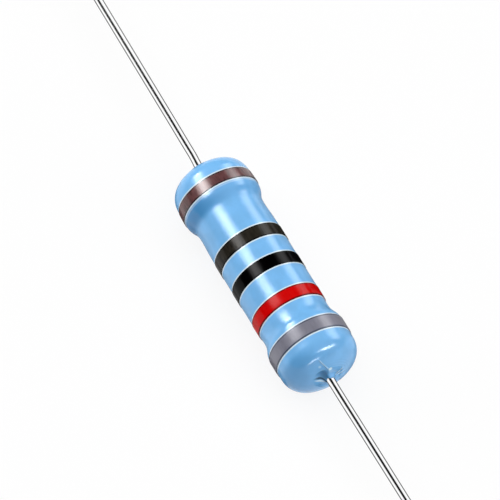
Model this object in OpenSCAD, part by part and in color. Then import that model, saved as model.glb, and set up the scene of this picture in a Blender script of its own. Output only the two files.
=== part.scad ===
// Axial-lead metal film resistor, 2 watt size, with five colour bands.
// The axis of the rod and of both leads is X, and the middle of the rod is the origin.
// Every piece but the film is a turned form, drawn as a half section in [radius, distance along the axis].

/* [Ceramic rod] */
// Diameter of the ceramic rod
core_d = 4.08; // [3:0.02:6]
// Length of the ceramic rod
core_len = 14; // [12:0.1:20]
// Bevel on the two edges of the rod
core_bevel = 0.15; // [0.05:0.05:0.4]

/* [Resistive film] */
// Thickness of the metal film, thicker than life so that it is a solid
film_t = 0.04; // [0.03:0.01:0.08]
// Turns of the helical trim cut
trim_turns = 6; // [2:1:8]
// Advance of the trim cut in one turn
trim_pitch = 1.3; // [0.8:0.05:1.4]
// Width of the trim cut, measured along the axis
trim_gap = 0.28; // [0.1:0.02:0.4]
// Flats round the film in one turn
trim_facets = 36; // [24:4:48]

/* [End caps] */
// Wall of the pressed steel cap
cap_wall = 0.25; // [0.15:0.01:0.4]
// Floor of the cap, where the lead is welded
cap_floor = 0.25; // [0.15:0.01:0.5]
// How far the cap grips along the rod
cap_grip = 2; // [1.4:0.1:3]
// Outer corner radius of the drawn cap
cap_corner_r = 0.6; // [0.3:0.05:0.8]
// Bevel on the rim of the cap
cap_lip = 0.08; // [0.04:0.01:0.12]

/* [Leads] */
// Diameter of the tinned wire
lead_d = 0.5; // [0.4:0.01:0.8]
// Length of the wire from the floor of its cap to its tip
lead_len = 29.2; // [16:0.1:38]
// How far the weld head flares out round the wire, at the cap
weld_flare = 0.15; // [0.1:0.05:0.3]
// Height of the weld head
weld_h = 0.25; // [0.1:0.05:0.3]
// How much the upset wire is swollen where it leaves the weld head
weld_swell = 0.04; // [0.01:0.01:0.1]
// How far outside the coating the swelling has tapered off
taper_out = 0.25; // [0.1:0.05:1]
// Bevel on the cut end of the wire
tip_bevel = 0.06; // [0.02:0.01:0.1]

/* [Coating] */
// Coating over the film, between the caps
coat_t = 0.17; // [0.1:0.01:0.3]
// Coating over the side of each cap
cap_coat_t = 0.17; // [0.1:0.01:0.4]
// Radius of the hollow and of the hump of each shoulder
shoulder_r = 1.2; // [0.8:0.1:1.5]
// How far the middle of the shoulder lies inboard of the rim of the cap
shoulder_inset = 0.2; // [0.1:0.05:0.4]
// Radius of the rounded rim at each end
knuckle_r = 1.2; // [0.9:0.05:1.3]
// Where the rounding of the left end starts, inboard of the floor of the cap
left_round_in = 0.56; // [0.4:0.02:0.9]
// Where the rounding of the right end starts, inboard of the floor of the cap
right_round_in = 0.78; // [0.4:0.02:0.9]
// Radius of the domed ends, as a multiple of the radius over the caps
crown_ratio = 1.48; // [1.3:0.02:3]
// Radius of the meniscus that climbs the lead
meniscus_r = 0.32; // [0.2:0.02:0.6]
// Thickness of the meniscus at its top
meniscus_lip = 0.06; // [0.03:0.01:0.1]

/* [Colour bands] */
// Thickness of the paint
band_t = 0.03; // [0.02:0.01:0.06]
// Width of the first band
first_band_w = 0.96; // [0.5:0.02:1.2]
// Width of each of the three bands on the waist
waist_band_w = 0.88; // [0.5:0.02:1.2]
// Width of the fifth band
fifth_band_w = 0.78; // [0.5:0.02:1.2]
// Middle of the first band, outboard of the rim of its cap
first_band_out = 0.76; // [0.6:0.02:1]
// Middle of the second band, left of the middle of the rod
second_band_x = 3.1; // [2.6:0.02:3.2]
// Middle of the third band, left of the middle of the rod
third_band_x = 0.6; // [0:0.02:1]
// Middle of the fourth band, right of the middle of the rod
fourth_band_x = 1.6; // [1:0.02:2.4]
// Middle of the fifth band, outboard of the rim of its cap
fifth_band_out = 0.82; // [0.6:0.02:1]

/* [Hidden] */
$fn = 96;
LEFT = -1;
RIGHT = 1;

// Radii that stack from the rod outwards
core_r = core_d / 2;
film_r = core_r + film_t;
cap_r = film_r + cap_wall;
lead_r = lead_d / 2;
waist_r = film_r + coat_t;
bulge_r = cap_r + cap_coat_t;

// Places along the axis, from the middle of the rod to the tip of a lead
rod_end = core_len / 2;
film_end = rod_end - core_bevel;
cap_rim = rod_end - cap_grip;
cap_end = rod_end + cap_floor;
lead_tip = cap_end + lead_len;

// The shoulder is a hollow arc and a hump of one radius that meet where they are tangent
shoulder_turn = acos(1 - (bulge_r - waist_r) / (2 * shoulder_r));
shoulder_half = shoulder_r * sin(shoulder_turn);
shoulder_mid = cap_rim - shoulder_inset;
hollow_c = [waist_r + shoulder_r, shoulder_mid - shoulder_half];
hump_c = [bulge_r - shoulder_r, shoulder_mid + shoulder_half];

// Each end is a dome whose rim is rounded by the knuckle
crown_r = crown_ratio * bulge_r;
knuckle_rise = sqrt(pow(crown_r - knuckle_r, 2) - pow(bulge_r - knuckle_r, 2));
crown_turn = [bulge_r - knuckle_r, knuckle_rise] / (crown_r - knuckle_r);
function knuckle_c(side) = [bulge_r - knuckle_r, cap_end - (side == LEFT ? left_round_in : right_round_in)];
function crown_c(side) = [0, knuckle_c(side).y - knuckle_rise];

// The meniscus is a hollow arc, tangent to the dome, that ends where it runs along the lead
meniscus_x = lead_r + meniscus_lip + meniscus_r;
meniscus_rise = sqrt(pow(crown_r + meniscus_r, 2) - pow(meniscus_x, 2));
function meniscus_c(side) = crown_c(side) + [meniscus_x, meniscus_rise];
wire_start = max(meniscus_c(LEFT).y, meniscus_c(RIGHT).y) + taper_out;

// Middle and width of each band along the axis, and its colour
BANDS = [
  [-(cap_rim + first_band_out), first_band_w, "slategray"],
  [-second_band_x, waist_band_w, "red"],
  [-third_band_x, waist_band_w, "black"],
  [fourth_band_x, waist_band_w, "black"],
  [cap_rim + fifth_band_out, fifth_band_w, "saddlebrown"]
];

// Lays a half section along X and turns it
module turned() {
  rotate([0, 90, 0]) rotate_extrude() children();
}

// Draws its half section at the left or the right end
module at_end(side) {
  mirror([0, side == LEFT ? 1 : 0]) children();
}

// The part of a disc that lies on the outer side of the axis
module half_disc(c, r) {
  intersection() {
    translate(c) circle(r);
    translate([0, c.y - 2 * r]) square([c.x + 2 * r, 4 * r]);
  }
}

// Half section of the outside, from the middle to one end, with the skin moved out by grow. The humps and
// the knuckles are whole discs, which lie inside the outline wherever they aren't part of it.
module half_outline(side, grow) {
  k = knuckle_c(side);
  crown = crown_c(side);
  square([waist_r + grow, hollow_c.y]);
  difference() {
    polygon([[0, hollow_c.y], hollow_c, hump_c, [0, hump_c.y]]);
    translate(hollow_c) circle(shoulder_r - grow);
  }
  half_disc(hump_c, shoulder_r + grow);
  translate([0, hump_c.y]) square([bulge_r + grow, k.y - hump_c.y]);
  half_disc(k, knuckle_r + grow);
  intersection() {
    translate(crown) circle(crown_r + grow);
    polygon([[0, hump_c.y], k, crown + 2 * crown_r * crown_turn, crown + [0, 2 * crown_r]]);
  }
}

module outline(grow = 0) {
  for (side = [LEFT, RIGHT]) at_end(side) half_outline(side, grow);
}

// The meniscus round one lead: a block under the hollow arc, cut off along the line between the two centres
module meniscus_section(side) {
  crown = crown_c(side);
  m = meniscus_c(side);
  foot = crown + (crown_r - knuckle_r) / (crown_r + meniscus_r) * (m - crown);
  difference() {
    polygon([[0, foot.y], foot, m, [0, m.y]]);
    translate(m) circle(meniscus_r);
  }
}

// Outside of one drawn cap, as a full half section
module cap_outline() {
  corner_c = [cap_r - cap_corner_r, cap_end - cap_corner_r];
  polygon([
    [0, cap_rim], [cap_r - cap_lip, cap_rim], [cap_r, cap_rim + cap_lip], [cap_r, corner_c.y],
    corner_c, [corner_c.x, cap_end], [0, cap_end]
  ]);
  half_disc(corner_c, cap_corner_r);
}

// Half section of the rod, beveled at both edges
module rod_section() {
  polygon([
    [0, -rod_end], [core_r - core_bevel, -rod_end], [core_r, -film_end],
    [core_r, film_end], [core_r - core_bevel, rod_end], [0, rod_end]
  ]);
}

// Space that the rod and its film fill
module rod_space() {
  rod_section();
  translate([0, -film_end]) square([film_r, 2 * film_end]);
}

// Half section of one lead: weld head, upset taper, wire and beveled tip
module lead_outline() {
  polygon([
    [0, cap_end], [lead_r + weld_flare, cap_end], [lead_r + weld_swell, cap_end + weld_h], [lead_r, wire_start],
    [lead_r, lead_tip - tip_bevel], [lead_r - tip_bevel, lead_tip], [0, lead_tip]
  ]);
}

module ceramic_core() {
  color("ivory") turned() rod_section();
}

// The film is one strip that winds round the rod. A place along it is counted in rings, trim_facets to a turn,
// from 0 where the first land starts to end_ring where the last land closes. The low edge of the strip leaves
// the left end of the film after one turn, and its high edge reaches the right end one turn before the last.
first_ring = trim_facets;
last_ring = trim_facets * trim_turns;
end_ring = last_ring + trim_facets;
flat_turn = 180 / trim_facets;

function cut_x(turn) = trim_pitch * (turn - trim_turns / 2);
function low_x(i) = i < first_ring ? -film_end : cut_x(i / trim_facets - 1) + trim_gap / 2;
function high_x(i) = i > last_ring ? film_end : cut_x(i / trim_facets) - trim_gap / 2;

// Four corners of the strip at ring i: inner low, outer low, outer high, inner high
function ring(i) = let (
    a = 2 * flat_turn * i,
    inner = core_r / cos(flat_turn) * [cos(a), sin(a)],
    outer = film_r * [cos(a), sin(a)]
  ) [
    [inner.x, inner.y, low_x(i)], [outer.x, outer.y, low_x(i)],
    [outer.x, outer.y, high_x(i)], [inner.x, inner.y, high_x(i)]
  ];

// Corner k of ring i in the list of points
function at(i, k) = 4 * i + k;
// Where a land closes on itself, its plain edge shares the corners of the ring a turn away
function closes_low(i) = i == first_ring ? 0 : i;
function opens_high(i) = i == last_ring ? end_ring : i;

// Faces of the strip from ring i to ring i + 1
function outer_face(i) =
    i == first_ring - 1 ? [at(i, 1), at(i, 2), at(i + 1, 2), at(i + 1, 1), at(0, 2), at(0, 1)]
  : i == last_ring ? [at(i + 1, 1), at(i, 1), at(i, 2), at(end_ring, 1), at(end_ring, 2), at(i + 1, 2)]
  : [at(i, 1), at(i, 2), at(i + 1, 2), at(i + 1, 1)];
function inner_face(i) =
    i == first_ring - 1 ? [at(i, 0), at(0, 0), at(0, 3), at(i + 1, 0), at(i + 1, 3), at(i, 3)]
  : i == last_ring ? [at(i + 1, 0), at(i + 1, 3), at(end_ring, 3), at(end_ring, 0), at(i, 3), at(i, 0)]
  : [at(i, 0), at(i + 1, 0), at(i + 1, 3), at(i, 3)];
function low_face(i) = [at(i, 0), at(i, 1), at(closes_low(i + 1), 1), at(closes_low(i + 1), 0)];
function high_face(i) = [at(opens_high(i), 2), at(opens_high(i), 3), at(i + 1, 3), at(i + 1, 2)];

module resistive_film() {
  rings = [for (i = [0:end_ring]) each ring(i)];
  sides = [for (i = [0:end_ring - 1]) each [outer_face(i), inner_face(i), low_face(i), high_face(i)]];
  cut_ends = [
    [at(0, 3), at(0, 2), at(first_ring, 1), at(first_ring, 0)],
    [at(last_ring, 2), at(last_ring, 3), at(end_ring, 0), at(end_ring, 1)]
  ];
  color("dimgray") rotate([0, 90, 0]) polyhedron(rings, concat(sides, cut_ends), convexity = 10);
}

// Pressed cap: a drawn cup that grips the film and seats on the end of the rod
module end_cap(side) {
  color("silver") turned() difference() {
    at_end(side) cap_outline();
    rod_space();
  }
}

module lead(side) {
  color("gainsboro") turned() at_end(side) lead_outline();
}

// Conformal lacquer over the whole body, hollow where the rod, the caps and the leads are
module epoxy_coating() {
  color("skyblue") turned() difference() {
    union() {
      outline();
      for (side = [LEFT, RIGHT]) at_end(side) meniscus_section(side);
    }
    rod_space();
    for (side = [LEFT, RIGHT]) at_end(side) {
      cap_outline();
      lead_outline();
    }
  }
}

// Ring of paint that follows the skin of the coating
module band(index) {
  middle = BANDS[index][0];
  width = BANDS[index][1];
  color(BANDS[index][2]) turned() difference() {
    intersection() {
      outline(band_t);
      translate([0, middle - width / 2]) square([bulge_r + 2 * band_t, width]);
    }
    outline();
  }
}

ceramic_core();
resistive_film();
end_cap(LEFT);  // end_cap_left
end_cap(RIGHT);  // end_cap_right
lead(LEFT);  // lead_left
lead(RIGHT);  // lead_right
epoxy_coating();
band(0);  // band_1_grey
band(1);  // band_2_red
band(2);  // band_3_black
band(3);  // band_4_black
band(4);  // band_5_brown
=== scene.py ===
"""Looks of the axial resistor: lacquered body, painted bands, tinned leads and a plain studio.

The classes hold their sizes in millimetres. Every mesh is made in metres in the row frame,
with its place in its vertices and its object at the origin.
"""

import logging
import math
from dataclasses import dataclass, field
from enum import Enum
from typing import Any, TypeVar

import bmesh
import bpy
from mathutils import Matrix, Vector, noise


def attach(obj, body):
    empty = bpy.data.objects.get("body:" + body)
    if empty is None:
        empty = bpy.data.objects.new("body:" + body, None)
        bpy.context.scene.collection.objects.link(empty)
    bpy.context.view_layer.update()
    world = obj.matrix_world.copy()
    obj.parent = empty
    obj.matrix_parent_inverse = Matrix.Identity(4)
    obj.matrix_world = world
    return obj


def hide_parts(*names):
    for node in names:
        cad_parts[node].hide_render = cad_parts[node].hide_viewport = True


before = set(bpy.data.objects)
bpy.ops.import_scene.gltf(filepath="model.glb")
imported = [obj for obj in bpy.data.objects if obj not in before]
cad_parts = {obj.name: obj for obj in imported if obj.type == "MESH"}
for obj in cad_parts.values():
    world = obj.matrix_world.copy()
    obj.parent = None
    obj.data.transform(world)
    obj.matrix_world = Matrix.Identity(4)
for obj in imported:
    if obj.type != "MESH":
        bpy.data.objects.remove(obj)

LOG = logging.getLogger("resistor")
MM = 0.001
BODY = "root"
Colour = tuple[float, float, float]
Point = tuple[float, float, float]
Number = TypeVar("Number", float, "Signal")
WHITE: Colour = (1.0, 1.0, 1.0)

# Y and Z parts of the way from the part's axis towards the viewer, square to the axis.
VIEW_Y, VIEW_Z = 0.2663, 0.9639

# Ends of the crease above the left lead, each as its distance up the end face and beside.
CREASE_TOP = (1.85, 0.04)
CREASE_FOOT = (0.98, 0.23)


def rgba(colour: Colour, gain: float = 1.0) -> tuple[float, float, float, float]:
    """Gives a linear colour, made lighter or darker by gain, as a socket takes it."""
    return (colour[0] * gain, colour[1] * gain, colour[2] * gain, 1.0)


def ease(value: float, low: float, high: float) -> float:
    """Rises smoothly from 0 at low to 1 at high."""
    share = min(1.0, max(0.0, (value - low) / (high - low)))
    return share * share * (3.0 - 2.0 * share)


def swell(value: float, middle: float, reach: float) -> float:
    """Gives a soft hump that is 1 at middle and fades out over reach."""
    return math.exp(-(((value - middle) / reach) ** 2))


def split(y: Number, z: Number) -> tuple[Number, Number]:
    """Splits a distance from the axis into its parts up the left end face and beside it."""
    return y * VIEW_Y + z * VIEW_Z, z * VIEW_Y - y * VIEW_Z


class Signal:
    """A node's output that takes part in Python expressions as a number."""

    def __init__(self, graph: "Graph", socket: bpy.types.NodeSocket) -> None:
        """Keeps the socket, and the graph that its Math nodes go into."""
        self.graph = graph
        self.socket = socket

    def _math(self, operation: str, *values: "Signal | float") -> "Signal":
        """Adds one Math node.

        Args:
            operation: The Math node's operation.
            values: What its sockets take, in order.

        Returns:
            The node's result.
        """
        return self.graph.out("ShaderNodeMath", {"operation": operation}, dict(enumerate(values)))

    def __add__(self, other: "Signal | float") -> "Signal":
        """Adds."""
        return self._math("ADD", self, other)

    def __radd__(self, other: float) -> "Signal":
        """Adds, with the number first."""
        return self._math("ADD", other, self)

    def __sub__(self, other: "Signal | float") -> "Signal":
        """Subtracts."""
        return self._math("SUBTRACT", self, other)

    def __rsub__(self, other: float) -> "Signal":
        """Subtracts from a number."""
        return self._math("SUBTRACT", other, self)

    def __mul__(self, other: "Signal | float") -> "Signal":
        """Multiplies."""
        return self._math("MULTIPLY", self, other)

    def __rmul__(self, other: float) -> "Signal":
        """Multiplies, with the number first."""
        return self._math("MULTIPLY", other, self)

    def __truediv__(self, other: "Signal | float") -> "Signal":
        """Divides."""
        return self._math("DIVIDE", self, other)

    def __abs__(self) -> "Signal":
        """Drops the sign."""
        return self._math("ABSOLUTE", self)

    def __pow__(self, other: "Signal | float") -> "Signal":
        """Raises to a power."""
        return self._math("POWER", self, other)

    def most(self, other: "Signal | float") -> "Signal":
        """Gives the greater of two numbers."""
        return self._math("MAXIMUM", self, other)

    def sine(self) -> "Signal":
        """Gives the sine of an angle in radians."""
        return self._math("SINE", self)

    def ramp(self, low: float, high: float) -> "Signal":
        """Rises smoothly from 0 at low to 1 at high, or falls where low is above high."""
        if low > high:
            return 1.0 - self.ramp(high, low)
        settings = {"interpolation_type": "SMOOTHSTEP"}
        sockets = {"Value": self, "From Min": low, "From Max": high}
        return self.graph.out("ShaderNodeMapRange", settings, sockets)


class Graph:
    """The node tree of one material or world, written with Python expressions."""

    def __init__(self, tree: bpy.types.NodeTree) -> None:
        """Empties the tree."""
        self.tree = tree
        tree.nodes.clear()

    def node(
        self,
        kind: str,
        settings: dict[str, Any] | None = None,
        sockets: dict[int | str, Any] | None = None,
    ) -> bpy.types.Node:
        """Adds one node.

        Args:
            kind: The node's type.
            settings: Its properties, which are set first.
            sockets: A value, or a Signal to link, for each named or numbered input.

        Returns:
            The new node.
        """
        made = self.tree.nodes.new(kind)
        for name, value in (settings or {}).items():
            setattr(made, name, value)
        for key, value in (sockets or {}).items():
            if isinstance(value, Signal):
                self.tree.links.new(value.socket, made.inputs[key])
            else:
                made.inputs[key].default_value = value
        return made

    def out(
        self,
        kind: str,
        settings: dict[str, Any] | None = None,
        sockets: dict[int | str, Any] | None = None,
        output: int | str = 0,
    ) -> Signal:
        """Adds one node and gives one of its outputs.

        Args:
            kind: The node's type.
            settings: Its properties.
            sockets: Its inputs' values or links.
            output: The output's name or number.

        Returns:
            That output as a Signal.
        """
        return Signal(self, self.node(kind, settings, sockets).outputs[output])

    def place(self, stretch: Point = (1.0, 1.0, 1.0)) -> Signal:
        """Gives the point on the piece in millimetres, stretched along each axis."""
        own = self.out("ShaderNodeTexCoord", output="Object")
        scale = [s / MM for s in stretch]
        return self.out("ShaderNodeMapping", None, {"Vector": own, "Scale": scale})

    def axes(self, point: Signal) -> tuple[Signal, Signal, Signal]:
        """Splits a point into its three numbers."""
        parts = self.node("ShaderNodeSeparateXYZ", None, {0: point})
        return tuple(Signal(self, parts.outputs[i]) for i in range(3))

    def grain(
        self, point: Signal, scale: float, detail: float = 2.0, rough: float = 0.5
    ) -> Signal:
        """Gives noise from 0 to 1 at a point, with scale in turns per millimetre."""
        sockets = {"Vector": point, "Scale": scale, "Detail": detail, "Roughness": rough}
        return self.out("ShaderNodeTexNoise", None, sockets, "Fac")

    def mix(self, share: Signal | float, first: Any, second: Any) -> Signal:
        """Blends two colours."""
        return self.out("ShaderNodeMix", {"data_type": "RGBA"}, {0: share, 6: first, 7: second}, 2)

    def bump(self, height: Signal, depth: float) -> Signal:
        """Turns a height from 0 to 1 into a normal, with depth in millimetres."""
        sockets = {"Height": height, "Distance": depth * MM, "Strength": 1.0}
        return self.out("ShaderNodeBump", None, sockets)

    def surface(self, **sockets: Any) -> None:
        """Ends the tree in a Principled surface, with _ for the spaces in its socket names."""
        named = {key.replace("_", " "): value for key, value in sockets.items()}
        shader = self.out("ShaderNodeBsdfPrincipled", None, named)
        self.node("ShaderNodeOutputMaterial", None, {"Surface": shader})


def shine(g: Graph, share: Signal, low: float, high: float) -> Signal:
    """Blends two even glows.

    Args:
        g: The material's graph.
        share: Share of the second glow.
        low: Brightness of the first.
        high: Brightness of the second.

    Returns:
        The blended shader.
    """
    ends = [g.out("ShaderNodeEmission", None, {"Strength": level}) for level in (low, high)]
    return g.out("ShaderNodeMixShader", None, {0: share, 1: ends[0], 2: ends[1]})


def new_material(name: str) -> tuple[bpy.types.Material, Graph]:
    """Makes an empty node material."""
    material = bpy.data.materials.new(name)
    material.use_nodes = True
    return material, Graph(material.node_tree)


@dataclass(frozen=True)
class Lacquer:
    """Sky-blue epoxy lacquer: glossy and faintly mottled, with a painted highlight line at each
    band.

    Attributes:
        colour: Linear colour of the pigment.
        deep_and_shade: How far the deeper colour darkens each part of the colour: partly a deeper
            coat, partly painted shade.
        pale: Linear colour of the painted highlight line beside a painted band.
        highlight_rims: Places along the axis of the painted highlight lines at the bands' edges, in
            millimetres.
        highlight_rim_width: Width of a painted highlight line.
        faint_highlight_rim: Place of a second, fainter painted highlight line.
        pool_and_shade_x: Place of the deeper colour at the right shoulder: pooled coat and painted
            shade.
        end_pool_and_shade: Where the deeper colour lies at the left end: start, full, waning and
            end.
        lit_end_from: Where the painted light that lightens the right end starts.
        lit_end_gain: How much lighter the painted light makes it.
        face_from: Where the left end face's own marks start.
        roughness: Roughness of its gloss.
        mottle_scale: Turns of its broad mottle in a millimetre.
        fleck_scale: Turns of its fine flecks.
        peel_scale: Turns of its orange peel.
        peel_depth: Depth of the orange peel.
        crevice_shade: Linear colour of the painted shade in the gap beside the left lead.
        shade: Linear colour of the painted shade line at its foot.
        bright: Linear colour of the painted highlights on the folds, spots and lip there.
        folds: Creases in the left end face: both ends (up, beside), height and share of painted
            highlight.
        glints: Painted highlight spots there: middle (up, beside), radius and share.
        ring_pitch: Spacing of the ripples round the left lead.
    """

    colour: Colour = (0.200, 0.520, 0.920)
    deep_and_shade: Colour = (0.33, 0.55, 0.66)
    pale: Colour = (0.82, 0.92, 0.97)
    crevice_shade: Colour = (0.020, 0.170, 0.360)
    shade: Colour = (0.008, 0.045, 0.080)
    bright: Colour = (0.74, 0.92, 1.0)
    highlight_rims: tuple[float, ...] = ()
    highlight_rim_width: float = 0.085
    faint_highlight_rim: float = 5.27
    pool_and_shade_x: float = 4.90
    end_pool_and_shade: tuple[float, float, float, float] = (-6.5, -7.1, -7.8, -8.3)
    lit_end_from: float = 6.0
    lit_end_gain: float = 1.06
    face_from: float = -7.3
    roughness: float = 0.145
    mottle_scale: float = 0.9
    fleck_scale: float = 7.0
    peel_scale: float = 1.4
    peel_depth: float = 0.02
    folds: tuple[tuple[float, float, float, float, float, float], ...] = (
        (*CREASE_TOP, *CREASE_FOOT, 2.4, 0.40),
        (-0.12, 0.36, 0.14, 0.95, 1.5, 0.85),
        (-0.24, 0.51, -0.22, 0.97, 1.0, 0.75),
    )
    glints: tuple[tuple[float, float, float, float], ...] = (
        (0.88, 0.33, 0.16, 1.0),
        (1.43, -0.15, 0.13, 0.35),
    )
    ring_pitch: float = 0.17

    def material(self, name: str) -> bpy.types.Material:
        """Builds the lacquer's material."""
        made, g = new_material(name)
        point = g.place()
        x, y, z = g.axes(point)
        up, side = split(y, z)
        mottle = g.grain(point, self.mottle_scale, 3.0)
        fleck = g.grain(point, self.fleck_scale, 2.0)
        base = g.mix(mottle.ramp(0.3, 0.7), rgba(self.colour, 0.94), rgba(self.colour, 1.05))
        base = g.mix(fleck.ramp(0.62, 0.8) * 0.25, base, rgba(self.colour, 1.2))
        # Painted shade: a deeper blue at the right shoulder and the left end, partly a deeper coat.
        thick_and_shaded = tuple(a * b for a, b in zip(self.colour, self.deep_and_shade))
        base = g.mix(self.pooled(x, side), base, rgba(thick_and_shaded))
        # Painted light: the right end is made lighter.
        far_end = x.ramp(self.lit_end_from, self.lit_end_from + 0.5)
        base = g.mix(far_end, base, rgba(self.colour, self.lit_end_gain))
        # Painted highlight lines beside the bands' edges, and a fainter one near the right band.
        rim = abs(x - self.faint_highlight_rim).ramp(self.highlight_rim_width, 0.02) * 0.25
        for edge in self.highlight_rims:
            rim = rim.most(abs(x - edge).ramp(self.highlight_rim_width, 0.03) * 0.85)
        base = g.mix(rim, base, rgba(self.pale))
        face = x.ramp(self.face_from, self.face_from - 0.25)
        edge = self.lip(up, side) + (mottle - 0.5) * 0.15
        # Painted shade in the hollow beside the left lead, and a painted shade line at its foot.
        base = g.mix(self.gap(up, side, edge) * face, base, rgba(self.crevice_shade))
        line = abs(edge).ramp(0.090, 0.02) * side.ramp(-0.95, -0.55) * side.ramp(0.05, -0.15)
        base = g.mix(line * face * 0.95, base, rgba(self.shade))
        # Painted highlights on the left end face: along folds, in spots and under the lip.
        base = g.mix(self.thin(up, side, edge) * face, base, rgba(self.bright))
        peel = g.grain(point, self.peel_scale, 2.0) * 0.6 + g.grain(point, 9.0, 1.0) * 0.05
        g.surface(
            Base_Color=base,
            Roughness=self.roughness + 0.05 * mottle,
            IOR=1.5,
            Normal=g.bump(peel + self.creases(up, side, mottle) * face, self.peel_depth),
        )
        return made

    def pooled(self, x: Signal, side: Signal) -> Signal:
        """Gives the share of the deeper colour: pooled coat, and painted shade that is most on the
        +Y side.

        Args:
            x: Place along the axis.
            side: Distance beside the axis.

        Returns:
            The share of the deeper colour.
        """
        # Painted shade: the deeper colour grows towards +Y.
        left = side.ramp(1.15, -2.1)
        middle = abs(x - self.pool_and_shade_x).ramp(0.75, 0.25) * (0.22 + 0.75 * left)
        start, full, wane, end = self.end_pool_and_shade
        return middle + x.ramp(start, full) * x.ramp(end, wane) * (0.05 + 0.5 * left)

    def lip(self, up: Signal, side: Signal) -> Signal:
        """Gives the distance above the line where the gap beside the left lead ends."""
        return (up - 0.06) * 0.723 + (side + 0.21) * 0.690

    def gap(self, up: Signal, side: Signal, edge: Signal) -> Signal:
        """Gives the painted shade where the lacquer drew back from the left lead, from 0 to 1.

        Args:
            up: Distance up from the lead.
            side: Distance beside it.
            edge: Distance above the gap's foot.

        Returns:
            The painted shade, between the crease above and the lip below.
        """
        right = ((up - CREASE_FOOT[0]) * -0.276 + (side - 0.22) * 0.961).ramp(0.03, -0.10)
        reach = up.ramp(1.15, 0.25) * side.ramp(-0.85, -0.10)
        return reach * edge.ramp(-0.02, 0.06) * right * 0.9

    def fold(self, up: Signal, side: Signal, ends: tuple[float, ...]) -> Signal:
        """Gives the mask of one crease.

        Args:
            up: Distance up from the lead.
            side: Distance beside it.
            ends: Both ends of the crease.

        Returns:
            The mask, 1 along its line.
        """
        up_a, side_a, up_b, side_b = ends
        length = math.hypot(up_b - up_a, side_b - side_a)
        run_up, run_side = (up_b - up_a) / length, (side_b - side_a) / length
        along = (up - up_a) * run_up + (side - side_a) * run_side
        off = (up - up_a) * run_side - (side - side_a) * run_up
        ends = along.ramp(-0.10, 0.12) * along.ramp(length + 0.10, length - 0.08)
        return abs(off).ramp(0.080, 0.0) * ends

    def thin(self, up: Signal, side: Signal, edge: Signal) -> Signal:
        """Gives the painted highlights on the left end face: on folds, in spots and along the lip.

        Args:
            up: Distance up from the lead.
            side: Distance beside it.
            edge: Distance above the gap's foot.

        Returns:
            The share of painted highlight, from 0 to 1.
        """
        # Painted highlight along the lip under the gap.
        lip_highlight = abs(edge + 0.15).ramp(0.065, 0.02)
        pale = lip_highlight * side.ramp(-0.95, -0.60) * side.ramp(-0.12, -0.30) * 0.9
        for *ends, _, share in self.folds:
            pale = pale.most(self.fold(up, side, tuple(ends)) * share)
        for up_m, side_m, reach, share in self.glints:
            off_up, off_side = up - up_m, side - side_m
            away = (off_up * off_up + off_side * off_side) ** 0.5
            pale = pale.most(away.ramp(reach, reach * 0.4) * share)
        return pale

    def creases(self, up: Signal, side: Signal, wander: Signal) -> Signal:
        """Draws the folds and ripples that the lacquer set in beside the left lead.

        Args:
            up: Distance up from the lead.
            side: Distance beside it.
            wander: Noise that makes the ripples uneven.

        Returns:
            Their height, as a bump takes it.
        """
        out = (up * up + side * side) ** 0.5
        height = (out * (math.tau / self.ring_pitch) + wander * 3.0).sine() * 0.16
        height = height * out.ramp(0.42, 0.75) * out.ramp(1.75, 1.25) * side.ramp(0.15, 0.55)
        for *ends, rise, _ in self.folds:
            height = height + self.fold(up, side, tuple(ends)) * rise
        return height


@dataclass(frozen=True)
class BandPaint:
    """Ring paint: brushed round the body, pooled a little darker along both edges.

    Attributes:
        colour: Linear colour of the paint.
        edge: Linear colour where it has pooled.
        roughness: Roughness of its gloss.
        specular: Strength of its gloss, where 0.5 is a plain one.
        streak: How far the brush marks lighten and darken it.
        mark_scale: Turns of the brush marks in a millimetre.
        cloud_scale: Turns of the broad unevenness.
        edge_from: Share of the half width where the pooled edge starts.
        edge_full: Share where it is full.
        relief: Depth of the marks.
    """

    colour: Colour
    edge: Colour
    roughness: float
    specular: float
    streak: float
    mark_scale: float = 6.0
    cloud_scale: float = 1.1
    edge_from: float = 0.76
    edge_full: float = 0.87
    relief: float = 0.012

    def material(self, name: str, centre: float, width: float) -> bpy.types.Material:
        """Builds the paint's material for one ring.

        Args:
            name: The material's name.
            centre: The ring's middle along the axis, in millimetres.
            width: The ring's width.

        Returns:
            The material.
        """
        made, g = new_material(name)
        point = g.place()
        x, _, _ = g.axes(point)
        across = abs(x - centre) / (width / 2.0)
        marks = g.grain(g.place((0.25, 1.0, 1.0)), self.mark_scale, 3.0, 0.6)
        cloud = g.grain(point, self.cloud_scale, 2.0)
        dark, light = (rgba(self.colour, 1.0 + way * self.streak) for way in (-1.0, 1.0))
        tone = g.mix(marks.ramp(0.25, 0.75), dark, light)
        tone = g.mix(cloud.ramp(0.35, 0.75) * self.streak, tone, rgba(self.colour, 1.5))
        tone = g.mix(across.ramp(self.edge_from, self.edge_full), tone, rgba(self.edge))
        g.surface(
            Base_Color=tone,
            Roughness=self.roughness + 0.10 * (marks - 0.5),
            Specular_IOR_Level=self.specular,
            Normal=g.bump(marks * 0.5 + cloud * 0.5, self.relief),
        )
        return made


class BandColour(Enum):
    """The colours of the bands, each with its paint."""

    GREY = BandPaint((0.190, 0.188, 0.240), (0.040, 0.055, 0.105), 0.30, 0.70, 0.06)
    RED = BandPaint((0.620, 0.0004, 0.0003), (0.16, 0.001, 0.004), 0.14, 0.10, 0.06)
    BLACK = BandPaint((0.0006, 0.0004, 0.0005), (0.0003, 0.0006, 0.0010), 0.13, 0.075, 0.30)
    SOFT_BLACK = BandPaint((0.0180, 0.0150, 0.0110), (0.0015, 0.003, 0.005), 0.16, 0.125, 0.60)
    BROWN = BandPaint((0.108, 0.037, 0.038), (0.012, 0.007, 0.016), 0.22, 0.64, 0.55)


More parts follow.
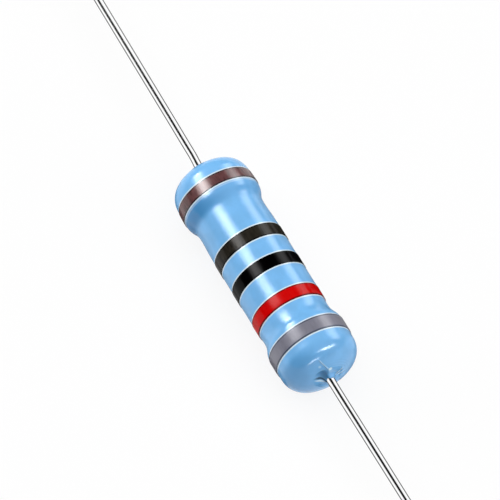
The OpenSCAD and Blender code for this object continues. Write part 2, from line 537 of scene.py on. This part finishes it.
@dataclass(frozen=True)
class Tin:
    """Bright tin on a drawn wire: mirror-like, with fine die lines along it."""

    colour: Colour = (0.93, 0.935, 0.94)
    roughness: float = 0.05

    def material(self, name: str) -> bpy.types.Material:
        """Builds the tin's material."""
        made, g = new_material(name)
        lines = g.grain(g.place((0.02, 1.0, 1.0)), 18.0, 2.0, 0.6)
        cloud = g.grain(g.place((0.3, 1.0, 1.0)), 1.6, 2.0)
        share = lines.ramp(0.25, 0.75) * 0.5 + cloud * 0.4
        tone = g.mix(share, rgba(self.colour, 0.95), rgba(self.colour, 1.03))
        g.surface(
            Base_Color=tone,
            Metallic=1.0,
            Roughness=self.roughness + 0.05 * cloud,
            Normal=g.bump(lines, 0.0002),
        )
        return made


@dataclass(frozen=True)
class Plating:
    """Matte tin plate on pressed steel, with draw marks along the wall."""

    colour: Colour = (0.62, 0.62, 0.60)
    roughness: float = 0.28

    def material(self, name: str) -> bpy.types.Material:
        """Builds the plating's material."""
        made, g = new_material(name)
        drawn = g.grain(g.place((0.08, 1.0, 1.0)), 9.0, 3.0, 0.6)
        cloud = g.grain(g.place(), 1.5, 3.0)
        share = drawn.ramp(0.3, 0.7) * 0.6 + cloud * 0.4
        g.surface(
            Base_Color=g.mix(share, rgba(self.colour, 0.85), rgba(self.colour, 1.12)),
            Metallic=1.0,
            Roughness=self.roughness + 0.2 * cloud,
            Normal=g.bump(drawn, 0.004),
        )
        return made


@dataclass(frozen=True)
class Alumina:
    """Fired ceramic: chalky off-white with fine grain and a few grey pores."""

    colour: Colour = (0.80, 0.77, 0.69)
    roughness: float = 0.62

    def material(self, name: str) -> bpy.types.Material:
        """Builds the ceramic's material."""
        made, g = new_material(name)
        point = g.place()
        grit = g.grain(point, 14.0, 4.0, 0.7)
        pores = g.grain(point, 5.0, 2.0).ramp(0.68, 0.8)
        tone = g.mix(grit, rgba(self.colour, 0.93), rgba(self.colour, 1.08))
        tone = g.mix(pores * 0.5, tone, rgba(self.colour, 0.55))
        g.surface(
            Base_Color=tone,
            Roughness=self.roughness + 0.2 * grit,
            Normal=g.bump(grit - pores * 0.5, 0.012),
        )
        return made


@dataclass(frozen=True)
class Film:
    """Sputtered resistive metal: dark satin, with scorch along the laser's cut."""

    colour: Colour = (0.20, 0.185, 0.17)
    scorched: Colour = (0.09, 0.06, 0.04)
    roughness: float = 0.3

    def material(self, name: str) -> bpy.types.Material:
        """Builds the film's material."""
        made, g = new_material(name)
        sheen = g.grain(g.place((1.0, 0.3, 0.3)), 3.0, 3.0)
        scorch = g.grain(g.place(), 12.0, 3.0).ramp(0.5, 0.8)
        tone = g.mix(sheen, rgba(self.colour, 0.8), rgba(self.colour, 1.25))
        g.surface(
            Base_Color=g.mix(scorch * 0.5, tone, rgba(self.scorched)),
            Metallic=0.9,
            Roughness=self.roughness + 0.2 * sheen,
            Normal=g.bump(sheen, 0.003),
        )
        return made


class Outline:
    """A half section of a turned piece, drawn in XZ by extruding and spinning one vertex."""

    def __init__(self, x: float, r: float) -> None:
        """Starts at a place along the axis and a radius, in millimetres."""
        self.bm = bmesh.new()
        self.skin = self.bm.verts.layers.int.new("skin")
        self.last = self.bm.verts.new((x * MM, 0.0, r * MM))
        self.first = self.last

    def line(self, x: float, r: float, steps: int = 1) -> None:
        """Draws a straight line to a place and radius, in that many steps."""
        step = (Vector((x * MM, 0.0, r * MM)) - self.last.co) / steps
        for _ in range(steps):
            made = bmesh.ops.extrude_vert_indiv(self.bm, verts=[self.last])
            self.last = made["verts"][0]
            bmesh.ops.translate(self.bm, verts=[self.last], vec=step)

    def arc(self, x: float, r: float, degrees: float, steps: int) -> None:
        """Spins the last vertex about a centre.

        Args:
            x: The centre's place along the axis.
            r: The centre's distance from the axis.
            degrees: The turn; above zero it goes from +X to the outside.
            steps: Steps of the arc.
        """
        made = bmesh.ops.spin(
            self.bm,
            geom=[self.last],
            cent=(x * MM, 0.0, r * MM),
            axis=(0.0, -1.0, 0.0),
            angle=math.radians(degrees),
            steps=steps,
            use_merge=False,
            use_duplicate=False,
        )
        self.last = next(v for v in made["geom_last"] if isinstance(v, bmesh.types.BMVert))

    def mark(self) -> None:
        """Marks what is drawn so far as outer skin."""
        for vertex in self.bm.verts:
            vertex[self.skin] = 1

    def close(self) -> None:
        """Joins the last vertex to the first."""
        self.bm.edges.new((self.last, self.first))

    def turn(self, steps: int) -> bmesh.types.BMesh:
        """Spins the outline about the X axis into a closed piece, with its poles merged.

        Args:
            steps: Steps of the full turn.

        Returns:
            The turned mesh, facing outwards.
        """
        bmesh.ops.spin(
            self.bm,
            geom=[*self.bm.verts, *self.bm.edges],
            cent=(0.0, 0.0, 0.0),
            axis=(1.0, 0.0, 0.0),
            angle=math.tau,
            steps=steps,
            use_merge=True,
            use_duplicate=False,
        )
        bmesh.ops.remove_doubles(self.bm, verts=self.bm.verts, dist=0.0002 * MM)
        bmesh.ops.recalc_face_normals(self.bm, faces=self.bm.faces)
        return self.bm


def put(bm: bmesh.types.BMesh, name: str, material: bpy.types.Material) -> bpy.types.Object:
    """Makes a smooth-shaded object of a finished mesh.

    Args:
        bm: The mesh, which is used up.
        name: The piece's name.
        material: Its material.

    Returns:
        The object, at the origin.
    """
    mesh = bpy.data.meshes.new(name)
    bm.to_mesh(mesh)
    bm.free()
    mesh.shade_smooth()
    mesh.materials.append(material)
    made = bpy.data.objects.new(name, mesh)
    bpy.context.scene.collection.objects.link(made)
    return made


def settle(piece: bpy.types.Object, node: str) -> None:
    """Rides a piece on the body in the place of its CAD node, and hides that node."""
    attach(piece, BODY)
    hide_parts(node)
    LOG.info("%s: %d faces, stands for %s", piece.name, len(piece.data.polygons), node)


class End(Enum):
    """The two ends: which way each points along the axis."""

    LEFT = -1
    RIGHT = 1


@dataclass(frozen=True)
class WeldHead:
    """The upset end of a wire on the floor of its cap, which the lacquer closes in."""

    x: float = 7.25
    r: float = 0.40
    neck_x: float = 7.50
    neck_r: float = 0.29


@dataclass
class LacqueredBody:
    """The dog-bone coat of lacquer over the rod and the caps, hollow where they sit."""

    waist_r: float = 2.25
    bulge_r: float = 2.50
    blend_r: float = 1.20
    hollow_x: float = 4.2666
    hump_x: float = 5.3334
    shoulder_turn: float = 26.389
    knuckle_x: dict[End, float] = field(default_factory=lambda: {End.LEFT: 6.69, End.RIGHT: 6.47})
    crown_r: float = 3.70
    crown_back: float = 2.1354
    crown_turn: float = 58.663
    meniscus_r: float = 0.32
    lip_r: float = 0.31
    bore_r: float = 0.265
    film_r: float = 2.08
    cap_r: float = 2.33
    cap_rim: float = 5.0
    cap_corner_r: float = 0.60
    weld: WeldHead = WeldHead()
    roll_scale: float = 0.55
    roll_height: float = 0.010
    ripple_scale: float = 1.6
    ripple_height: float = 0.003
    highest: float = 0.004
    turn_steps: int = 240

    def drift(self, x: float) -> float:
        """Gives how far the real coat strays from its plain outline at a place along the axis."""
        dip = -0.055 * swell(x, 3.95, 0.75) - 0.042 * swell(x, -3.97, 0.42)
        dip += 0.016 * swell(x, -4.7, 0.3)
        taper = -0.045 * ease(x, 5.5, 6.6) - 0.025 * ease(-x, 6.0, 6.7)
        return dip + taper

    def radius(self, x: float) -> float:
        """Gives the coat's outer radius between the two knuckles."""
        a = abs(x)
        middle = (self.hollow_x + self.hump_x) / 2.0
        if a < self.hollow_x:
            r = self.waist_r
        elif a < middle:
            r = self.waist_r + self.blend_r - math.sqrt(self.blend_r**2 - (a - self.hollow_x) ** 2)
        elif a < self.hump_x:
            r = self.bulge_r - self.blend_r + math.sqrt(self.blend_r**2 - (self.hump_x - a) ** 2)
        else:
            r = self.bulge_r
        return r + self.drift(x)

    def outline(self) -> Outline:
        """Draws the coat's half section: the skin from lip to lip, then the cavity back."""
        crown = {end: self.knuckle_x[end] - self.crown_back for end in End}
        reach = self.crown_r + self.meniscus_r
        lip_up = self.lip_r + self.meniscus_r
        lip_x = {end: crown[end] + math.sqrt(reach**2 - lip_up**2) for end in End}
        foot = math.degrees(math.asin(lip_up / reach))
        rise = math.degrees(math.atan2(self.bulge_r - self.blend_r, self.crown_back))
        knuckle_r = self.bulge_r - self.blend_r
        hollow_r = self.waist_r + self.blend_r
        drawn = Outline(-lip_x[End.LEFT], self.lip_r)
        drawn.arc(-lip_x[End.LEFT], lip_up, 90.0 - foot, 18)
        drawn.arc(-crown[End.LEFT], 0.0, foot - rise, 48)
        drawn.arc(-self.knuckle_x[End.LEFT], knuckle_r, rise - 90.0, 22)
        drawn.line(-self.hump_x, self.bulge_r, 10)
        drawn.arc(-self.hump_x, knuckle_r, -self.shoulder_turn, 9)
        drawn.arc(-self.hollow_x, hollow_r, self.shoulder_turn, 9)
        drawn.line(self.hollow_x, self.waist_r, 48)
        drawn.arc(self.hollow_x, hollow_r, self.shoulder_turn, 9)
        drawn.arc(self.hump_x, knuckle_r, -self.shoulder_turn, 9)
        drawn.line(self.knuckle_x[End.RIGHT], self.bulge_r, 10)
        drawn.arc(self.knuckle_x[End.RIGHT], knuckle_r, rise - 90.0, 22)
        drawn.arc(crown[End.RIGHT], 0.0, foot - rise, 30)
        drawn.arc(lip_x[End.RIGHT], lip_up, 90.0 - foot, 18)
        drawn.mark()
        for vertex in drawn.bm.verts:
            vertex.co.z += self.drift(vertex.co.x / MM) * ease(vertex.co.z / MM, 1.0, 2.2) * MM
        self.cavity(drawn)
        drawn.close()
        return drawn

    def cavity(self, drawn: Outline) -> None:
        """Draws the cavity from the right lip to the left one: bores, cap seats and rod seat."""
        weld = self.weld
        corner = weld.x - self.cap_corner_r
        drawn.line(drawn.last.co.x / MM, self.bore_r)
        drawn.line(weld.neck_x, weld.neck_r, 2)
        drawn.line(weld.x, weld.r)
        drawn.line(weld.x, self.cap_r - self.cap_corner_r, 6)
        drawn.arc(corner, self.cap_r - self.cap_corner_r, 90.0, 8)
        drawn.line(self.cap_rim, self.cap_r, 4)
        drawn.line(self.cap_rim, self.film_r)
        drawn.line(-self.cap_rim, self.film_r, 16)
        drawn.line(-self.cap_rim, self.cap_r)
        drawn.line(-corner, self.cap_r, 4)
        drawn.arc(-corner, self.cap_r - self.cap_corner_r, 90.0, 8)
        drawn.line(-weld.x, weld.r, 6)
        drawn.line(-weld.neck_x, weld.neck_r)
        drawn.line(drawn.first.co.x / MM, self.bore_r, 2)

    def flow(self, bm: bmesh.types.BMesh, skin: bmesh.types.BMLayerItem) -> None:
        """Lets the skin wander as dipped lacquer does, and dents it beside the left lead.

        Args:
            bm: The turned coat.
            skin: The layer that marks its outer vertices.
        """
        for vertex in bm.verts:
            at = vertex.co / MM
            r = math.hypot(at.y, at.z)
            mouth = at.x < -8.3 and r < 0.3
            if not (vertex[skin] or mouth):
                continue
            wander = noise.noise(at * self.roll_scale) * self.roll_height
            apart = at * self.ripple_scale + Vector((7.0, 3.0, 1.0))
            wander += noise.noise(apart) * self.ripple_height
            fade = ease(r, 0.4, 1.2) * ease(self.bulge_r + 0.02, r, r + 0.03)
            shift = Vector((0.0, at.y, at.z)).normalized() * min(wander, self.highest) * fade
            if at.x < -7.3:
                shift.x += self.dent(at)
            vertex.co += shift * MM

    def dent(self, at: Vector) -> float:
        """Gives how far the left end face sinks where the lacquer drew in beside the lead.

        Args:
            at: The point, in millimetres.

        Returns:
            The way it sinks along +X. The hollow's right wall is steep, along the crease.
        """
        up, side = split(at.y, at.z)
        if up > CREASE_FOOT[0]:
            off = (up - CREASE_TOP[0]) * 0.213 + (side - CREASE_TOP[1]) * 0.977
        else:
            off = (up - CREASE_FOOT[0]) * -0.276 + (side - CREASE_FOOT[1]) * 0.961
        wall = 1.0 - ease(off, -0.16, 0.04)
        sink = 0.25 * swell(math.hypot(up, side), 0.0, 0.60)
        hollow = 0.30 * swell(up, 0.62, 0.36) * swell(side, -0.30, 0.42) * wall
        valley = 0.05 * swell(up, 1.35, 0.60) * swell(side, -0.25, 0.50) * wall
        slack = 0.035 * swell(up, 0.75, 0.60) * swell(side, -1.35, 0.40)
        lump = 0.05 * swell(up, 0.02, 0.12) * swell(side, -0.52, 0.20)
        return sink + hollow + valley + slack - lump

    def build(self, material: bpy.types.Material) -> None:
        """Builds the coat."""
        drawn = self.outline()
        bm = drawn.turn(self.turn_steps)
        self.flow(bm, drawn.skin)
        bmesh.ops.recalc_face_normals(bm, faces=bm.faces)
        settle(put(bm, "lacquered_body", material), "epoxy_coating")


@dataclass
class PaintedBand:
    """One painted ring, a thin layer that follows the coat and has rounded edges."""

    name: str
    node: str
    slot: str
    colour: BandColour
    centre: float
    width: float
    height: float = 0.03
    sunk: float = 0.02
    edge_r: float = 0.022
    turn_steps: int = 192

    def build(self, coat: LacqueredBody) -> None:
        """Builds the ring on the lacquered body that it follows."""
        half = self.width / 2.0
        low, high = -self.sunk, self.height
        drawn = Outline(self.centre - half, low)
        drawn.line(self.centre - half, high - self.edge_r)
        drawn.arc(self.centre - half + self.edge_r, high - self.edge_r, -90.0, 4)
        drawn.line(self.centre + half - self.edge_r, high, 12)
        drawn.arc(self.centre + half - self.edge_r, high - self.edge_r, -90.0, 4)
        drawn.line(self.centre + half, low)
        drawn.line(self.centre - half + 0.01, low, 4)
        drawn.close()
        for vertex in drawn.bm.verts:
            vertex.co.z += coat.radius(vertex.co.x / MM) * MM
        material = self.colour.value.material(self.name + "_paint", self.centre, self.width)
        settle(put(drawn.turn(self.turn_steps), self.name, material), self.node)


@dataclass
class Lead:
    """One tinned wire: weld head on the cap, taper inside the lacquer, and a clipped tip.

    It leans towards the picture's right, and may have a small jog where it leaves the lacquer.
    """

    end: End
    node: str
    weld: WeldHead = WeldHead()
    shank_x: float = 8.775
    shank_r: float = 0.25
    tip_x: float = 36.45
    tip_bevel: float = 0.06
    lean: float = 0.0060
    jog: float = 0.0
    jog_reach: float = 0.45
    turn_steps: int = 64

    def build(self, material: bpy.types.Material) -> None:
        """Builds the wire, turned round for the left end."""
        drawn = Outline(self.weld.x, 0.0)
        drawn.line(self.weld.x, self.weld.r, 3)
        drawn.line(self.weld.neck_x, self.weld.neck_r, 4)
        drawn.line(self.shank_x, self.shank_r, 6)
        drawn.line(self.tip_x - self.tip_bevel, self.shank_r, 60)
        drawn.line(self.tip_x, self.shank_r - self.tip_bevel, 3)
        drawn.line(self.tip_x, 0.0, 4)
        bm = drawn.turn(self.turn_steps)
        beside = Vector((0.0, -VIEW_Z, VIEW_Y))
        for vertex in bm.verts:
            past = vertex.co.x / MM - self.shank_x
            jog = self.jog * ease(past, -self.jog_reach, self.jog_reach)
            run = max(0.0, past)
            vertex.co += beside * (jog + self.lean * run * ease(run, 0.0, 3.0)) * MM
        if self.end is End.LEFT:
            bmesh.ops.scale(bm, verts=bm.verts, vec=(-1.0, 1.0, 1.0))
            bmesh.ops.recalc_face_normals(bm, faces=bm.faces)
        settle(put(bm, "wire_" + self.end.name.lower(), material), self.node)


@dataclass
class Resistor:
    """The whole part: coat, bands and leads, and the inner CAD pieces in their own finishes."""

    # Gap between each band's edge and its painted highlight line.
    highlight_rim_gap: float = 0.03
    coat: LacqueredBody = field(default_factory=LacqueredBody)
    bands: tuple[PaintedBand, ...] = (
        PaintedBand("first_band", "band_1_grey", "grey_paint", BandColour.GREY, -5.76, 0.96),
        PaintedBand("second_band", "band_2_red", "red_paint", BandColour.RED, -3.10, 0.88),
        PaintedBand("third_band", "band_3_black", "black_paint", BandColour.BLACK, -0.60, 0.88),
        PaintedBand("fourth_band", "band_4_black", "black_paint", BandColour.SOFT_BLACK, 1.60, 0.88),
        PaintedBand("fifth_band", "band_5_brown", "brown_paint", BandColour.BROWN, 5.82, 0.78),
    )
    leads: tuple[Lead, ...] = (
        Lead(End.LEFT, "lead_left"),
        Lead(End.RIGHT, "lead_right", lean=0.0085, jog=0.05),
    )

    def build(self) -> None:
        """Builds and dresses every piece."""
        # Places of the painted highlight lines beside the bands.
        highlight_rims = tuple(
            band.centre + side * (band.width / 2.0 + self.highlight_rim_gap)
            for band in self.bands
            for side in (-1, 1)
        )
        self.coat.build(Lacquer(highlight_rims=highlight_rims).material("blue_lacquer"))
        for band in self.bands:
            band.build(self.coat)
        tin = Tin().material("bright_tin")
        for lead in self.leads:
            lead.build(tin)
        self.dress_inside()

    def dress_inside(self) -> None:
        """Gives the rod, the film and the caps their finishes."""
        plating = Plating().material("tin_plate")
        inner = {
            "ceramic_core": Alumina().material("fired_alumina"),
            "resistive_film": Film().material("metal_film"),
            "end_cap_left": plating,
            "end_cap_right": plating,
        }
        for node, material in inner.items():
            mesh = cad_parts[node].data
            mesh.materials.clear()
            mesh.materials.append(material)
            LOG.info("%s: CAD node in %s", node, material.name)


FAR = 400.0
DOWN: Point = (0.0, 0.0, -1.0)


class CardUse(Enum):
    """What a studio card is for: to be mirrored in gloss, or to shade matte surfaces."""

    MIRRORED = 1
    SHADING = 2


@dataclass(frozen=True)
class Card:
    """A flat studio card that the camera doesn't see, lit or dark, with edges that fade.

    Attributes:
        name: The card's name.
        centre: Its middle, in millimetres.
        facing: The way from the part to the card, which lies square to it.
        half_along: Half its size along the part's axis.
        half_across: Half its size round the part's axis.
        glow: Brightness at its middle.
        rim: Brightness at its edge.
        core_along: Share of its half size along the axis that is evenly bright.
        core_across: The same, round the axis.
        roll: Its turn about the way it faces, in degrees.
        gain: How much brighter its end towards +X is than its middle, as a share.
        use: What it is for.
    """

    name: str
    centre: Point
    facing: Point
    half_along: float
    half_across: float
    glow: float
    rim: float = 0.0
    core_along: float = 0.5
    core_across: float = 0.5
    roll: float = 0.0
    gain: float = 0.0
    use: CardUse = CardUse.MIRRORED

    @classmethod
    def far(
        cls, name: str, tilt: float, turn: float, along: float, across: float, **rest: Any
    ) -> "Card":
        """Makes a card at a distance, placed by angles in degrees.

        Args:
            name: The card's name.
            tilt: Angle towards +X from the plane square to the part's axis.
            turn: Angle round the part's axis, from +Z towards +Y.
            along: Its angle as seen from the part, along the part's axis.
            across: Its angle round the part's axis.
            rest: The card's other fields, from glow on.

        Returns:
            The card.
        """
        t, u = math.radians(tilt), math.radians(turn)
        facing = (math.sin(t), math.cos(t) * math.sin(u), math.cos(t) * math.cos(u))
        centre = tuple(FAR * v for v in facing)
        half = [math.tan(math.radians(a / 2.0)) * FAR for a in (along, across)]
        return cls(name, centre, facing, half[0], half[1], **rest)

    @classmethod
    def mat(
        cls, name: str, place: Point, half_x: float, half_y: float, glow: float, roll: float = 0.0
    ) -> "Card":
        """Makes an evenly bright mat that lies just above the floor."""
        return cls(name, place, DOWN, half_x, half_y, glow, glow, roll=roll)

    @classmethod
    def flag(cls, name: str, x: float) -> "Card":
        """Makes a dark strip on the floor, which one band mirrors along its right edge."""
        return cls.mat(name, (x, -32.0, -2.49), 0.60, 31.0, 0.01, roll=-25.3)

    def build(self) -> None:
        """Builds the card."""
        normal = Vector(self.facing).normalized()
        across = normal.cross(Vector((1.0, 0.0, 0.0))).normalized()
        turn = Matrix((across.cross(normal), across, normal)).transposed().to_4x4()
        turn = turn @ Matrix.Rotation(math.radians(self.roll), 4, "Z")
        bm = bmesh.new()
        bmesh.ops.create_grid(bm, x_segments=8, y_segments=8, size=MM)
        bmesh.ops.scale(bm, verts=bm.verts, vec=(self.half_along, self.half_across, 1.0))
        card = put(bm, self.name, self.material())
        card.matrix_world = Matrix.Translation(Vector(self.centre) * MM) @ turn
        hide(card, self.use)
        LOG.info("%s: card at brightness %.2f", self.name, self.glow)

    def material(self) -> bpy.types.Material:
        """Builds the card's glow, which fades from its middle to its rim."""
        made, g = new_material(self.name + "_glow")
        x, y, _ = g.axes(g.place())
        fade = (abs(x) / self.half_along).ramp(1.0, self.core_along)
        fade = fade * (abs(y) / self.half_across).ramp(1.0, self.core_across)
        fade = fade * ((1.0 + x * (self.gain / self.half_along)) / (1.0 + self.gain))
        lit = shine(g, fade, self.rim, self.rim + (self.glow - self.rim) * (1.0 + self.gain))
        g.node("ShaderNodeOutputMaterial", None, {"Surface": lit})
        return made


def hide(thing: bpy.types.Object, use: CardUse) -> None:
    """Hides a studio thing from the camera and from the rays that it isn't for."""
    thing.visible_camera = False
    thing.visible_transmission = False
    thing.visible_glossy = use is CardUse.MIRRORED
    thing.visible_diffuse = use is CardUse.SHADING
    thing.visible_shadow = use is CardUse.SHADING


@dataclass(frozen=True)
class LightTube:
    """A white tube round one lead with a dark slot along its top, which only reflections see.

    Angles are from the top, in degrees. The slot ends at slot and the white sides at lower, and
    the paler base starts at base. The blurs are half the widths of the blends at the three.
    """

    name: str
    start: float
    end: float
    radius: float = 1.0
    slot: float = 26.0
    lower: float = 93.0
    base: float = 150.0
    dark: float = 0.01
    white: float = 1.05
    floor: float = 0.7
    blurs: tuple[float, float, float] = (5.0, 9.0, 8.0)

    def build(self) -> None:
        """Builds the tube."""
        bm = bmesh.new()
        ring = bmesh.ops.create_circle(
            bm, cap_ends=False, segments=64, radius=self.radius * MM
        )["verts"]
        upright = Matrix.Rotation(math.pi / 2.0, 3, "Y")
        bmesh.ops.rotate(bm, verts=ring, cent=(0.0, 0.0, 0.0), matrix=upright)
        bmesh.ops.translate(bm, verts=ring, vec=(self.start * MM, 0.0, 0.0))
        wall = bmesh.ops.extrude_edge_only(bm, edges=bm.edges[:])
        moved = [v for v in wall["geom"] if isinstance(v, bmesh.types.BMVert)]
        bmesh.ops.translate(bm, verts=moved, vec=((self.end - self.start) * MM, 0.0, 0.0))
        hide(put(bm, self.name, self.material()), CardUse.MIRRORED)

    def below(self, top: Signal, angle: float, blur: float) -> Signal:
        """Rises from 0 to 1 round an angle from the top, whose cosine is given."""
        inner, outer = (math.cos(math.radians(a)) for a in (angle - blur, angle + blur))
        return top.ramp(inner, outer)

    def material(self) -> bpy.types.Material:
        """Builds the tube's glow, which goes by the angle from its top."""
        made, g = new_material(self.name + "_glow")
        _, y, z = g.axes(g.place())
        top = (y * VIEW_Y + z * VIEW_Z) / self.radius
        angles = zip((self.slot, self.lower, self.base), self.blurs)
        slot, lower, base = (self.below(top, angle, blur) for angle, blur in angles)
        share = (slot * (1.0 - lower)).most(base * self.floor)
        lit = shine(g, share, self.dark, self.white)
        g.node("ShaderNodeOutputMaterial", None, {"Surface": lit})
        return made


@dataclass
class Studio:
    """A white tent with a pale floor, soft cards and a long lens at the photograph's angle."""

    floor_z: float = -2.53
    floor_half: float = 450.0
    floor_albedo: float = 0.96
    floor_share: float = 0.12
    tent: float = 1.6
    blackout_r: float = 900.0
    cloth_dark: float = 0.02
    cloth_light: float = 0.04
    view_back: Point = (-0.4464, 0.2383, 0.8625)
    view_right: Point = (-0.8821 * 0.5342, -0.8821, 0.0)
    aim: Point = (1.491, 0.249, 0.763)
    frame_width: float = 29.76
    lens: float = 1000.0
    sensor: float = 36.0
    cards: tuple[Card, ...] = (
        Card(
            "key_card", (30.0, 15.6, 24.2), (0.0, 0.5417, 0.8406), 27.5, 12.4, 16.6,
            core_along=0.64, core_across=0.03, gain=0.35,
        ),
        Card.far("side_card", 15.0, -60.6, 52.0, 44.0, glow=5.2, core_along=0.6, core_across=0.03),
        Card.far(
            "window_card", -42.0, -32.0, 16.0, 60.0,
            glow=24.0, core_along=0.2, core_across=0.1, roll=17.0,
        ),
        Card.far(
            "low_card", -74.3, 89.0, 58.0, 15.0,
            glow=12.0, core_along=0.2, core_across=0.1, roll=47.0,
        ),
        Card.far(
            "front_card", -62.0, -90.0, 70.0, 80.0, glow=0.25, core_along=0.3, core_across=0.3
        ),
        Card.far(
            "left_shade", -43.0, 72.0, 143.0, 104.0,
            glow=0.0, rim=1.6, core_along=0.55, core_across=0.55, use=CardUse.SHADING,
        ),
        Card.far(
            "right_shade", 31.0, -82.0, 133.0, 92.0,
            glow=0.0, rim=1.6, core_along=0.68, core_across=0.68, use=CardUse.SHADING,
        ),
        Card.mat("side_mat", (1.85, -152.0, -2.50), 6.85, 150.0, 0.35),
        Card.mat("under_mat", (1.6, 1.9, -2.50), 5.0, 2.3, 0.40),
        Card.mat("near_mat", (-5.1, 2.7, -2.50), 1.7, 1.5, 0.08),
        Card.mat("end_mat", (-6.7, -3.6, -2.50), 1.7, 2.4, 0.30),
        Card.mat("far_mat", (8.7, 1.9, -2.50), 2.1, 2.3, 0.10),
        Card.flag("red_flag", 11.95),
        Card.flag("third_flag", 14.45),
        Card.flag("fourth_flag", 16.65),
    )
    tubes: tuple[LightTube, ...] = (
        LightTube("left_lead_tube", -37.5, -8.2),
        LightTube("left_root_tube", -8.5, -8.1, 0.42, slot=21.0, lower=76.0, base=128.0),
        LightTube("right_lead_tube", 8.1, 37.5),
    )

    def build(self) -> None:
        """Builds the floor, the tent, the cards and the camera."""
        self.build_floor()
        self.build_tent()
        self.build_blackout()
        for card in (*self.cards, *self.tubes):
            card.build()
        self.build_camera()

    def build_floor(self) -> None:
        """Lays the floor that the part rests on, white with a soft shadow."""
        bm = bmesh.new()
        bmesh.ops.create_grid(bm, x_segments=12, y_segments=12, size=self.floor_half * MM)
        bmesh.ops.translate(bm, verts=bm.verts, vec=(0.0, 0.0, self.floor_z * MM))
        material, g = new_material("floor_white")
        paper = g.grain(g.place(), 0.05, 2.0)
        tone = g.mix(paper, rgba(WHITE, self.floor_albedo), rgba(WHITE, self.floor_albedo * 1.01))
        matte = g.out("ShaderNodeBsdfDiffuse", None, {"Color": tone})
        white = g.out("ShaderNodeEmission", None, {"Strength": 1.0})
        path = g.node("ShaderNodeLightPath")
        rays = ("Is Camera Ray", "Is Glossy Ray", "Is Transmission Ray")
        camera, glossy, through = (Signal(g, path.outputs[ray]) for ray in rays)
        share = camera.most(glossy).most(through) * (1.0 - self.floor_share)
        blend = g.out("ShaderNodeMixShader", None, {0: share, 1: matte, 2: white})
        g.node("ShaderNodeOutputMaterial", None, {"Surface": blend})
        put(bm, "studio_floor", material)

    def build_tent(self) -> None:
        """Sets the world to even white light."""
        world = bpy.data.worlds.new("white_tent")
        world.use_nodes = True
        g = Graph(world.node_tree)
        sockets = {"Color": rgba(WHITE), "Strength": self.tent}
        light = g.out("ShaderNodeBackground", None, sockets)
        g.node("ShaderNodeOutputWorld", None, {"Surface": light})
        bpy.context.scene.world = world

    def build_blackout(self) -> None:
        """Hangs dark cloth round the set, which gloss mirrors where no card stands."""
        bm = bmesh.new()
        radius = self.blackout_r * MM
        bmesh.ops.create_uvsphere(bm, u_segments=48, v_segments=24, radius=radius)
        material, g = new_material("dark_cloth")
        folds = g.grain(g.place(), 0.01, 2.0)
        lit = shine(g, folds, self.cloth_dark, self.cloth_light)
        g.node("ShaderNodeOutputMaterial", None, {"Surface": lit})
        hide(put(bm, "dark_cloth", material), CardUse.MIRRORED)

    def build_camera(self) -> None:
        """Stands the long-lens camera at the photograph's angle."""
        back = Vector(self.view_back).normalized()
        right = Vector(self.view_right).normalized()
        data = bpy.data.cameras.new("long_lens")
        data.sensor_width = self.sensor
        data.lens = self.lens
        data.clip_start, data.clip_end = 0.01, 10.0
        camera = bpy.data.objects.new("long_lens", data)
        bpy.context.scene.collection.objects.link(camera)
        far = self.lens / self.sensor * self.frame_width
        turn = Matrix((right, back.cross(right), back)).transposed().to_4x4()
        camera.matrix_world = Matrix.Translation((Vector(self.aim) + back * far) * MM) @ turn
        bpy.context.scene.camera = camera


def main() -> None:
    logging.basicConfig(level=logging.INFO, format="%(message)s")
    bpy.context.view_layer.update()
    Resistor().build()
    Studio().build()
    bpy.context.scene.view_settings.view_transform = "Standard"
    bpy.context.view_layer.update()


if __name__ == "__main__":
    main()
